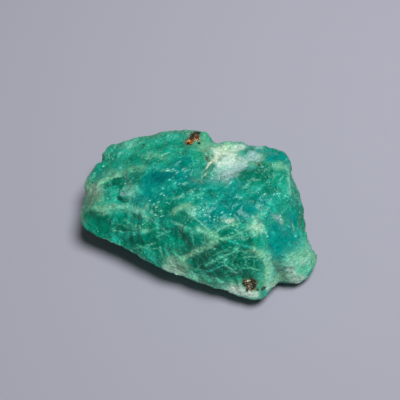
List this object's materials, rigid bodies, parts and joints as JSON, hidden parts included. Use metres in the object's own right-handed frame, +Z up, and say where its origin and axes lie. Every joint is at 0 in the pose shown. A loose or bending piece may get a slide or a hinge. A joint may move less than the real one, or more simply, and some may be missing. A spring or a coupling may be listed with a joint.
{
  "type": "rough green hauyne stone",
  "caption": "Rough broken piece of green hauyne: a low, angular stone with a ridged upper side and a small flat spot underneath to rest on.",
  "frame": {"origin": "centre of the bounding box in plan, on the plane that the stone rests on", "axes": "+X along the stone's length towards its rounded lobe, +Y towards its back, +Z up from the flat spot"},
  "size_m": [0.0382, 0.0294, 0.0115],
  "materials": {
    "green_hauyne": "broken faces of a cloudy sea-green to teal stone, part dull and part glassy, with pale veins, a whitish hollow and two rusty pits"
  },
  "bodies": {
    "root": {"hauyne_stone": "green_hauyne"}
  },
  "joints": []
}
